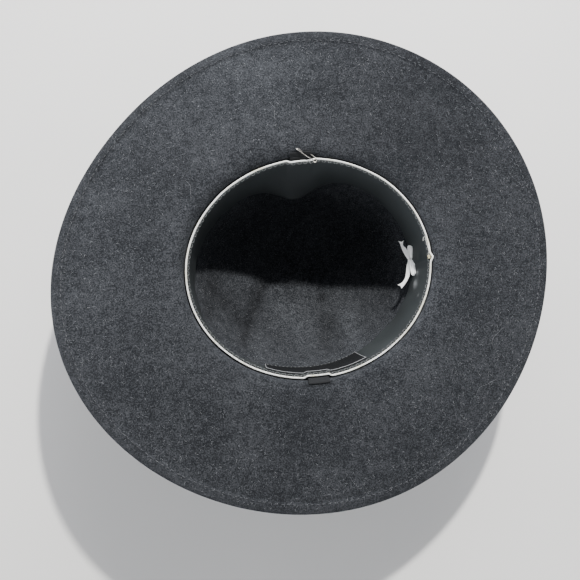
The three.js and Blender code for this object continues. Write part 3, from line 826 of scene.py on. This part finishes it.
def makeZigzag():
    # V stitches over the band's top edge: legs lead from the reed over the edge and a little down the skin
    count = stitches["count"]
    turn = stitches["turnFrom"] + np.arange(count) * fullTurn / count
    half = fullTurn / count / 2
    part = np.linspace(0, 1, 8)
    jitter = random.normal(0, 0.05, (2, count))
    sway = random.normal(0, 0.1, (2, count))
    paths = []
    for side in (0, 1):
        begin = turn + half * (side + jitter[side])
        end = begin + half * (1 + sway[side])
        down = part if side == 0 else 1 - part
        legTurn = begin[:, None] + (end - begin)[:, None] * part
        outer = -2 * opening["gap"] - 2 * reed["radius"] + 0.5 - loopDip(legTurn)
        inner = bandInner(legTurn, 0.0) - 0.25
        outward = outer + (inner - outer) * smoothStep(down, 0, 0.75)
        rise = 0.1 + 0.3 * np.sin(down * math.pi) - stitches["drop"] * smoothStep(down, 0.55, 1)
        paths.append(besideOpening(legTurn, outward, opening["height"] + band["top"] + rise))
    return makeThreads("reed_stitches", np.vstack(paths), stitches["radius"], 5, (0, 0, 1))


finishPiece(makeZigzag(), seamThread)
print("reed and its stitches made")


# Stitches along the welt

weltStitches = {"count": 262, "inset": 1.5, "cover": 0.5, "radius": 0.15, "rise": 0.2, "sink": 0.1}


def makeWeltStitches():
    # Short dashes just outside the welt's inner edge, arched between the holes that they come out of
    count = weltStitches["count"]
    jitter = random.normal(0, 0.06, count)
    middle = (np.arange(count) + jitter) * fullTurn / count
    half = fullTurn / count / 2 * weltStitches["cover"]
    part = np.linspace(-1, 1, 6)
    turn = middle[:, None] + half * part
    inset = weltStitches["inset"] + random.normal(0, 0.12, count)
    w = np.broadcast_to(((brimEdge - brim["weltWidth"] + inset) / brimEdge)[:, None], turn.shape)
    off = brim["weltThickness"] + weltStitches["rise"] * (1 - part ** 2) - weltStitches["sink"]
    paths = offSurface(brimSurface, w, turn, brim["step"], np.broadcast_to(off, turn.shape))
    return makeThreads("welt_stitches", paths, weltStitches["radius"], 5, (0, 0, 1))


finishPiece(makeWeltStitches(), greyThread)
print("welt stitches made")


# Chin-cord loops: ribbon folded double, sewn down behind the reed and bent over the brim's break

ribbonLoop = {"layer": 0.5, "apart": 0.8, "turnSteps": 6, "steps": 16, "columns": 12}


def makeLoop(name, middle):
    # The middle line goes up the felt and round the break, and the tape runs along it, round its end and back
    inset = opening["gap"] + loops["thickness"] / 2
    lean = brim["breakRadius"] + inset
    down = np.linspace(loops["depth"], 0.5, 5)
    rising = np.stack([-inset - crownLean(down), -down], axis=1)
    angle = np.linspace(0, loops["flap"] / lean, ribbonLoop["steps"])
    over = np.stack([brim["breakRadius"] - lean * np.cos(angle), lean * np.sin(angle)], axis=1)
    line = np.vstack([rising, over])
    along = unit(np.gradient(line, axis=0))
    normal = np.stack([-along[:, 1], along[:, 0]], axis=1)
    half = ribbonLoop["apart"] / 2
    bend = np.linspace(0, math.pi, ribbonLoop["turnSteps"])[1:-1, None]
    end = line[-1] + half * (np.cos(bend) * normal[-1] + np.sin(bend) * along[-1])
    tape = np.vstack([line + half * normal, end, (line - half * normal)[::-1]])
    run = unit(np.gradient(tape, axis=0))
    across = np.stack([-run[:, 1], run[:, 0]], axis=1)
    lengths = lengthsAlong(tape)
    share = np.linspace(-1, 1, ribbonLoop["columns"])
    turn = middle + share * math.asin(loops["length"] / 2 / halfLength)
    # the tape is a little slack between its ends
    slack = 0.12 * np.cos(share * 5 + middle)

    def face(side):
        flat = tape + side * ribbonLoop["layer"] / 2 * across
        height = opening["height"] + flat[:, 1, None] + slack * smoothStep(flat[:, 1, None], 0, 4)
        return besideOpening(turn, flat[:, 0, None], height - sinkAt(turn, flat[:, 0, None]))

    wide = (share + 1) / 2 * loops["length"]
    uv = np.stack(np.broadcast_arrays(lengths[:, None], wide), axis=-1) * millimetre
    piece = makeWall(name, face(1), face(-1), wrap=False, uv=uv, sharpAngle=50)
    return piece


finishPiece(makeLoop("chin_loop_left_tape", math.pi / 2), grosgrain, ("chin_loop_left",))
rightTurn = math.radians(loops["rightShift"] - 90)
finishPiece(makeLoop("chin_loop_right_tape", rightTurn), grosgrain, ("chin_loop_right",))
print("ribbon loops made")


# Plain label patch on the band, with a thread border and grey stitches near the free edge

patch = {
    "length": 82.0,
    "height": 31.5,
    "thickness": 1.0,
    "margin": 1.0,
    "turn": -90.5,
    "gap": 0.39,
    "stitchPitch": 3.4,
    "stitchInset": 1.6,
    "stitchRadius": 0.14,
    "borderRadius": 0.3,
    "cutShare": 0.96,
}
patchHalf = patch["length"] / (halfLength + halfWidth)
patchTurn = math.radians(patch["turn"])
patchLow = 1 - patch["margin"] / band["height"]
patchHigh = patchLow - patch["height"] / band["height"]


def makePatch():
    # A plate on the band's face, its rim thinned so that its edges look pressed
    across = np.linspace(-1, 1, 90)
    down = np.linspace(0, 1, 24)[:, None]
    turn = patchTurn + patchHalf * across
    share = patchHigh + (patchLow - patchHigh) * down
    rim = np.minimum(
        (1 - np.abs(across)) * patch["length"] / 2,
        np.minimum(down, 1 - down) * patch["height"],
    )
    thick = patch["thickness"] * (0.55 + 0.45 * smoothStep(rim, 0, 1.4))
    pucker = 0.1 * np.sin(across * 60) * np.exp(-np.abs(down - 0.92) * 12)
    front = onBand(turn, share, patch["gap"])
    back = onBand(turn, share, patch["gap"] + thick + pucker)
    uv = np.stack(np.broadcast_arrays(across * patch["length"] / 2, down * patch["height"]), axis=-1)
    return makeWall("label_patch_cloth", front, back, wrap=False, uv=uv * millimetre, sharpAngle=50)


cloth = makePatch()
finishPiece(cloth, labelCloth, ("label_patch",))


def makePatchBorder():
    # One thread along both ends and the edge nearest the reed
    along = np.linspace(-1, 1, 120)
    rise = np.linspace(1, 0, 24)
    side = 0.35 / patch["length"] * 2
    turn = np.concatenate([np.full(24, -1 + side), along[1:-1] * (1 - side), np.full(24, 1 - side)])
    share = np.concatenate([rise, np.zeros(118), rise[::-1]])
    share = patchHigh + 0.01 + (patchLow - patchHigh - 0.01) * share
    path = onBand(patchTurn + patchHalf * turn, share, patch["gap"] + patch["thickness"] * 0.75)
    return makeTube("label_patch_border", path, patch["borderRadius"], 6, (0.3, 0.2, 1))


def makePatchStitches():
    # Short stitches in a row above the free edge
    count = int(patch["length"] / patch["stitchPitch"])
    middle = (np.arange(count) + 0.5) / count * 2 - 1
    part = np.linspace(-1, 1, 5)
    half = 0.3 * patch["stitchPitch"] / patch["length"] * 2
    turn = patchTurn + patchHalf * (middle[:, None] + half * part) * 0.98
    share = np.broadcast_to(patchLow - patch["stitchInset"] / band["height"], turn.shape)
    off = patch["gap"] + patch["thickness"] + 0.25 * (1 - part ** 2) - 0.1
    paths = onBand(turn, share, off)
    return makeThreads("label_patch_stitches", paths, patch["stitchRadius"], 5, (0, 0, 1))


finishPiece(makePatchBorder(), borderThread)
finishPiece(makePatchStitches(), seamThread)
print("label patch made")


# Satin bow at the back seam

bow = {
    "knotHeight": 4.2,
    "knotSide": 4.5,
    "knotSize": 4.2,
    "knotFlat": 0.6,
    "reach": 23.5,
    "width": 5.2,
    "thickness": 0.35,
    "notch": 1.0,
    "wrapSide": 1.5,
    "wrapUp": 1.7,
    "wrapOff": 1.1,
}
bow["knotOff"] = bow["knotSize"] * bow["knotFlat"] / 2 + opening["gap"]
# Ribbons from the knot to their ends: side, up and off the band as shares of the bow's reach, then the twist
# in degrees and the width as a share of the ribbon's
bowRibbons = {
    "upper_loop": [(0, 0, 0.07, 30, 0.6), (0.13, 0.06, 0.06, 48, 0.8), (0.33, 0.13, 0.06, 52, 0.9),
                   (0.455, 0.17, 0.05, 45, 0.8), (0.475, 0.17, 0.035, 15, 0.55), (0.44, 0.16, 0.025, 0, 0.7),
                   (0.3, 0.1, 0.02, 0, 0.8), (0.12, 0.04, 0.03, 0, 0.6), (0, 0, 0.05, 0, 0.45)],
    "lower_loop": [(0, 0, 0.07, -30, 0.6), (-0.15, 0.09, 0.055, -46, 0.85), (-0.36, 0.2, 0.045, -50, 1.0),
                   (-0.56, 0.29, 0.035, -48, 0.95), (-0.57, 0.29, 0.025, -15, 0.8), (-0.36, 0.18, 0.02, 0, 0.8),
                   (-0.12, 0.06, 0.03, 0, 0.6), (0, 0, 0.05, 0, 0.45)],
    "upper_tail": [(0, 0, 0.09, 15, 0.5), (0.22, -0.03, 0.14, 30, 0.75), (0.4, -0.04, 0.19, 30, 0.75),
                   (0.55, -0.06, 0.225, 20, 0.5), (0.65, -0.06, 0.22, 26, 0.6), (0.75, -0.05, 0.2, 40, 1.05)],
    "lower_tail": [(0, 0, 0.09, -15, 0.5), (-0.19, -0.02, 0.12, -28, 0.85), (-0.37, -0.04, 0.125, -32, 0.9),
                   (-0.55, -0.05, 0.135, -28, 0.8), (-0.72, -0.06, 0.17, -22, 0.6), (-0.86, -0.07, 0.225, -26, 0.65),
                   (-0.95, -0.07, 0.285, -36, 0.85), (-1.02, -0.07, 0.34, -45, 1.05)],
}


def besideKnot(side, up, off):
    # Side along the band from the knot, up towards the reed and off the band's face
    share = 1 - (bow["knotHeight"] + up) / band["height"]
    turn = np.arcsin((bow["knotSide"] + side) / (halfWidth + bandInner(0.0, share)))
    return onBand(turn, share, off)


def makeRibbon(name, rows):
    # A strip carried along a smooth path: its width starts up the band and turns about the path by the twist,
    # and its middle is cupped
    rows = np.array(rows, dtype=float)
    places = besideKnot(*(rows[:, i] * bow["reach"] for i in (0, 1, 2)))
    steps = 48
    path = smoothPath(places, steps)
    run = unit(np.gradient(path, axis=0))
    lengths = lengthsAlong(path)
    corners = lengthsAlong(places)
    corners = corners / corners[-1] * lengths[-1]
    twist = np.radians(np.interp(lengths, corners, rows[:, 3]))[:, None]
    width = np.interp(lengths, corners, rows[:, 4]) * bow["width"]
    up = unit(besideKnot(0, 1.0, 0) - besideKnot(0, 0.0, 0))
    wide = unit(up - (run @ up)[:, None] * run)
    flat = np.cross(run, wide)
    turned = wide * np.cos(twist) + flat * np.sin(twist)
    normal = np.cross(run, turned)
    share = np.linspace(-0.5, 0.5, 13)
    # the narrower the ribbon is gathered, the deeper it is cupped and creased lengthwise
    gathered = 1 - width[:, None] / bow["width"]
    cup = (0.35 + 0.5 * gathered) * np.cos(share * math.pi) * (0.6 + 0.4 * np.cos(lengths / 3.1)[:, None])
    cup = cup + (0.1 + 0.3 * gathered) * np.cos(share * 22 + lengths[:, None] / 4)
    middle = path[:, None] + (share * width[:, None])[..., None] * turned[:, None]
    middle = middle + cup[..., None] * normal[:, None]
    if "tail" in name:
        # the tail's end is cut to a notch
        atEnd = smoothStep(lengths, lengths[-1] - 3, lengths[-1])[:, None]
        notch = bow["notch"] * (1 - np.abs(share) * 2) * atEnd
        middle = middle - notch[..., None] * run[:, None]
    half = bow["thickness"] / 2 * normal[:, None]
    uv = np.stack(np.broadcast_arrays(lengths[:, None], share * bow["width"]), axis=-1) * millimetre
    return makeWall("bow_" + name, middle + half, middle - half, wrap=False, uv=uv, sharpAngle=60)


def makeKnot():
    # The knot is a short band of ribbon round the others, a rounded box whose cross section bulges
    angle = np.arange(28) * fullTurn / 28
    height = np.linspace(-1, 1, 13)[:, None]
    swell = (1 - 0.45 * np.abs(height) ** 3) * (1 + 0.07 * np.cos(angle * 5 + height * 2))
    side = bow["wrapSide"] * swell * np.sign(np.cos(angle)) * np.abs(np.cos(angle)) ** 0.8
    off = bow["wrapOff"] * swell * np.sign(np.sin(angle)) * np.abs(np.sin(angle)) ** 0.8
    centre = besideKnot(0.0, 0.0, bow["knotOff"] + bow["wrapOff"] / 2)
    up = unit(besideKnot(0.0, 1.0, 0.0) - besideKnot(0.0, 0.0, 0.0))
    sideways = np.array([0.0, 1.0, 0.0])
    outward = np.cross(up, sideways)
    rings = centre + side[..., None] * sideways + off[..., None] * outward
    rings = rings + (height * bow["wrapUp"] * np.ones_like(angle))[..., None] * up
    rows, columns = rings.shape[:2]
    index = np.arange(rows * columns).reshape(rows, columns)
    ahead = np.roll(index, -1, axis=1)
    body = np.stack([index[:-1], ahead[:-1], ahead[1:], index[1:]], axis=-1).reshape(-1, 4)
    caps = np.stack([index[0, ::-1], index[-1]])
    uv = np.stack(np.broadcast_arrays(angle * 2.3, height * 2.6), axis=-1).reshape(-1, 2) * millimetre
    return makeMesh("bow_knot", rings.reshape(-1, 3), [body, caps], uv)


finishPiece(makeKnot(), satin, ("back_bow",))
for ribbonName, ribbonRows in bowRibbons.items():
    finishPiece(makeRibbon(ribbonName, ribbonRows), satin)
print("bow made")


# Thread knot and tail where the reed's ends meet, and ends of thread on the band's top edge

seamTail = [(95.3, 2.0, 109.6), (95.6, 5.5, 110.0), (95.0, 9.5, 109.9), (94.4, 13.4, 109.6),
            (94.0, 17.0, 109.0), (93.4, 18.2, 108.2), (92.8, 16.0, 107.6), (92.5, 14.2, 107.2)]
seamKnot = {"centre": (95.4, 0.8, 109.4), "turns": 3.2, "wide": 0.85, "deep": 0.7, "radius": 0.42}
seamRadius = {"tail": 0.24, "ends": 0.2}
# Ends of thread: turn in degrees and length in millimetres
threadEnds = [(-10.0, 1.6), (-13.4, 2.2), (-19.6, 1.8), (-23.1, 1.4)]


def makeSeamThread():
    # The knot is a thread wound round its centre while it swings across, the tail a smooth line
    turn = np.linspace(0, seamKnot["turns"] * fullTurn, 60)
    swing = np.stack([
        seamKnot["wide"] * np.cos(turn),
        seamKnot["wide"] * 1.2 * np.sin(turn * 0.7),
        seamKnot["deep"] * np.sin(turn),
    ], axis=1)
    knotPath = np.array(seamKnot["centre"]) + swing
    tail = makeTube("seam_thread_tail", smoothPath(seamTail, 60), seamRadius["tail"], 6, (0.2, 0.1, 1))
    return tail, makeTube("seam_thread_knot", knotPath, seamKnot["radius"], 7, (0.1, 1, 0.2))


def makeThreadEnds():
    # Short arcs on the band's top edge, lying along it
    ends = np.array(threadEnds)
    part = np.linspace(-0.5, 0.5, 6)
    turn = np.radians(ends[:, 0, None]) + ends[:, 1, None] * part / halfLength
    inward = -2 * opening["gap"] - 2 * reed["radius"] + 0.2 - 0.5 * part
    height = opening["height"] + band["top"] + 0.25 + 0.4 * (1 - 4 * part ** 2)
    paths = besideOpening(turn, inward, height)
    return makeThreads("seam_thread_ends", paths, seamRadius["ends"], 5, (0, 0, 1))


seamTailPiece, seamKnotPiece = makeSeamThread()
finishPiece(seamTailPiece, whiteThread)
finishPiece(seamKnotPiece, paleThread)
finishPiece(makeThreadEnds(), whiteThread)


# Safety pin at the left loop

pin = {"wire": 0.8, "coilRadius": 1.3, "coilAlong": 11.3, "steps": 150, "sides": 10}
# From the coil round the bend and back: along as a share of the loop's length, degrees round the break and
# layers of ribbon under the wire
pinPath = [
    (0.46, 25, 1.2), (0.29, 46, 1.15), (0.13, 62, 1.2), (-0.02, 75, 1.25), (-0.15, 87, 1.15), (-0.19, 96, 0.8),
    (-0.14, 98, 0.5), (-0.02, 88, 0.3), (0.12, 68, 0.1), (0.32, 56, 0.05), (0.54, 48, 0.05), (0.66, 34, 0.15),
    (0.73, 20, 0.8),
]


def besideLoop(along, outward, height):
    # Along the left loop, outward from the opening's outline and above the opening
    turn = np.arccos(along / (halfLength + outward))
    return besideOpening(turn, outward, opening["height"] + height)


def makePin():
    # The wire follows the break at its height above the ribbon, and its ends run into a coil of two turns
    along, around, over = np.array(pinPath, dtype=float).T
    layer = loops["thickness"] + opening["gap"]
    off = opening["gap"] + pin["wire"] / 2 + over * layer
    angle = np.radians(np.minimum(around, 90))
    run = np.radians(np.maximum(around - 90, 0)) * brim["breakRadius"]
    lean = brim["breakRadius"] + off
    outward = brim["breakRadius"] - lean * np.cos(angle) + run
    height = lean * np.sin(angle) - sinkAt(math.pi / 2, outward)
    bends = besideLoop(along * loops["length"], outward, height)
    coilOut = -2 * opening["gap"] - 2 * reed["radius"] - band["thickness"] * 0.85
    coilUp = band["top"] + opening["gap"] + pin["wire"] * 0.9
    reach = pin["coilRadius"]
    meets = [
        besideLoop(pin["coilAlong"] + side * reach * 0.8, coilOut + reach * 0.6, coilUp)
        for side in (-1, 1)
    ]
    wire = smoothPath(np.vstack([meets[0], bends, meets[1]]), pin["steps"])
    turns = np.linspace(0, 2 * fullTurn, 72)
    centre = besideLoop(pin["coilAlong"], coilOut, coilUp)
    rise = 0.35 * (turns / fullTurn - 1)
    coil = centre + np.stack([reach * np.cos(turns), reach * np.sin(turns), rise], axis=1)
    return [
        makeTube("safety_pin_wire", wire, pin["wire"] / 2, pin["sides"], (0, 0, 1)),
        makeTube("safety_pin_coil", coil, pin["wire"] / 2, pin["sides"], (0, 0, 1)),
    ]


pinWire, pinCoil = makePin()
finishPiece(pinWire, wireMetal, ("safety_pin",))
finishPiece(pinCoil, wireMetal)
print("pin and threads made")


# Loose fibres and lint on the felt

fibres = {"count": 3600, "shortest": 0.8, "longest": 2.6, "radius": 0.07, "hairRadius": 0.06}
# Hairs that stand out in the photo: start x, y and end x, y in plan, and how far they bow sideways
longHairs = [
    (-91.8, 74, -88.8, 57, 2.4), (-19, 131.7, -18.5, 119.4, 1.5), (122.4, -112.8, 141.8, -100.3, 3.5),
    (139.4, -72.4, 150.2, -60.0, 2.0), (153.6, -57.5, 154.8, -55.6, 0.4),
]


def brimHeight(x, y):
    # Height of the brim over a place in plan, from the share of the way out along its direction
    turn = np.arctan2(y / (halfWidth + brimEdge / 2), x / (halfLength + brimEdge / 2))
    for step in range(6):
        inner = np.hypot(halfLength * np.cos(turn), halfWidth * np.sin(turn))
        w = (np.hypot(x, y) / inner - 1) * inner / brimEdge
        across = y / (halfWidth + w * brim["reachAcross"])
        turn = np.arctan2(across, x / (halfLength + w * brim["reachAlong"]))
    return brimSurface(w, turn)[..., 2]


def makeFibres():
    # Each fibre is a short arc that lies along the felt and bows up from it and to one side
    count = fibres["count"]
    onCrown = np.arange(count) < count // 5
    turn = random.uniform(0, fullTurn, count)
    w = np.sqrt(random.uniform(0.01, 0.95, count))
    angle = np.interp(np.sqrt(random.uniform(0, 0.8, count)), [0, 1], [0.1, 1.25])
    heading = random.uniform(0, fullTurn, count)
    length = random.uniform(fibres["shortest"], fibres["longest"], count)
    bowing = random.normal(0, 0.25, count) * length
    rise = np.abs(random.normal(0.25, 0.2, count))
    onWelt = w * brimEdge > brimEdge - brim["weltWidth"] - 1
    lift = np.where(onWelt, brim["weltThickness"], 0) + 0.05
    step = crown["step"]

    def onFelt(inCrown, onBrim):
        return np.where(onCrown[:, None], inCrown, onBrim)

    base = onFelt(
        offSurface(crownSurface, angle, turn, step, np.full(count, 0.1)),
        offSurface(brimSurface, w, turn, brim["step"], lift),
    )
    aheadPoint = onFelt(crownSurface(angle + step, turn), brimSurface(w + step, turn))
    herePoint = onFelt(crownSurface(angle, turn), brimSurface(w, turn))
    aroundPoint = onFelt(crownSurface(angle, turn + step), brimSurface(w, turn + step))
    ahead = unit(aheadPoint - herePoint)
    normal = unit(np.cross(ahead, aroundPoint - herePoint))
    side = np.cross(normal, ahead)
    run = np.cos(heading)[:, None] * ahead + np.sin(heading)[:, None] * side
    across = np.cross(normal, run)
    part = np.linspace(-0.5, 0.5, 5)
    arch = 1 - 4 * part ** 2
    paths = (base[:, None] + (length[:, None] * part)[..., None] * run[:, None]
             + (bowing[:, None] * arch)[..., None] * across[:, None]
             + (rise[:, None] * arch)[..., None] * normal[:, None])
    radius = fibres["radius"] * random.uniform(0.7, 1.4, count)
    return makeThreads("loose_fibres", paths, radius, 3, (0.1, 0.2, 1))


def makeHairs():
    hairs = np.array(longHairs)
    part = np.linspace(0, 1, 12)
    x = hairs[:, 0, None] + (hairs[:, 2] - hairs[:, 0])[:, None] * part
    y = hairs[:, 1, None] + (hairs[:, 3] - hairs[:, 1])[:, None] * part
    run = unit(hairs[:, 2:4] - hairs[:, 0:2])
    bowing = hairs[:, 4, None] * np.sin(part * math.pi) * (1 + 0.4 * np.sin(part * 7))
    x = x - run[:, 1, None] * bowing
    y = y + run[:, 0, None] * bowing
    z = brimHeight(x, y) + 0.45 + 0.3 * np.sin(part * math.pi)
    return makeThreads("loose_hairs", np.stack([x, y, z], axis=-1), fibres["hairRadius"], 4, (0.1, 0.2, 1))


finishPiece(makeFibres(), looseFibre)
finishPiece(makeHairs(), looseFibre)
print("loose fibres made")


# Floor and lights: a window-like main light from the photo's top, a little right, and a pale room

room = {
    "floorSize": 12000,
    "keyFrom": (0.18, 0.77, 1.0),
    "keyDistance": 2.5,
    "keySize": 0.11,
    "keyPower": 106,
    "sideFrom": (0.2, 1.2, 0.9),
    "sideDistance": 1.1,
    "sideSize": 0.9,
    "sidePower": 9,
    "leftWall": 9.5,
    "rightWall": 1.6,
    "overhead": 0.28,
}


def makeFloor():
    half = room["floorSize"] / 2
    corners = np.array([(-half, -half, 0), (half, -half, 0), (half, half, 0), (-half, half, 0)])
    floor = makeMesh("floor", corners, [np.array([[0, 1, 2, 3]])])
    floor.data.materials.append(paleFloor())


def makeLight(name, direction, distance, size, power, colour):
    data = bpy.data.lights.new(name, "AREA")
    data.shape = "DISK"
    data.size = size
    data.energy = power
    data.color = srgb(colour)[:3]
    light = bpy.data.objects.new(name, data)
    towards = Vector(direction).normalized()
    light.location = towards * distance
    light.rotation_euler = towards.to_track_quat("Z", "Y").to_euler()
    bpy.context.scene.collection.objects.link(light)


def makeWorld():
    # The pale room's walls are brighter than its ceiling, and the left one is the brightest: the strength falls
    # with the direction's height, and with its way to the right
    world = bpy.data.worlds.new("pale room")
    world.use_nodes = True
    tree = world.node_tree
    direction = addNode(tree, "ShaderNodeTexCoord").outputs["Generated"]
    parts = addNode(tree, "ShaderNodeSeparateXYZ", {"Vector": direction}).outputs
    across = {"Value": parts["X"], "From Min": -1.0, "To Min": room["leftWall"], "To Max": room["rightWall"]}
    walls = addNode(tree, "ShaderNodeMapRange", across).outputs[0]
    fall = {"Value": parts["Z"], "From Min": 0.12, "From Max": 0.5, "To Min": walls, "To Max": room["overhead"]}
    strength = addNode(tree, "ShaderNodeMapRange", fall).outputs[0]
    setSockets(tree, tree.nodes["Background"], {"Color": srgb("#f2f4f8"), "Strength": strength})
    bpy.context.scene.world = world


makeFloor()
makeLight("window", room["keyFrom"], room["keyDistance"], room["keySize"], room["keyPower"], "#fffdf8")
makeLight("side", room["sideFrom"], room["sideDistance"], room["sideSize"], room["sidePower"], "#f4f6ff")
makeWorld()
print("room made")
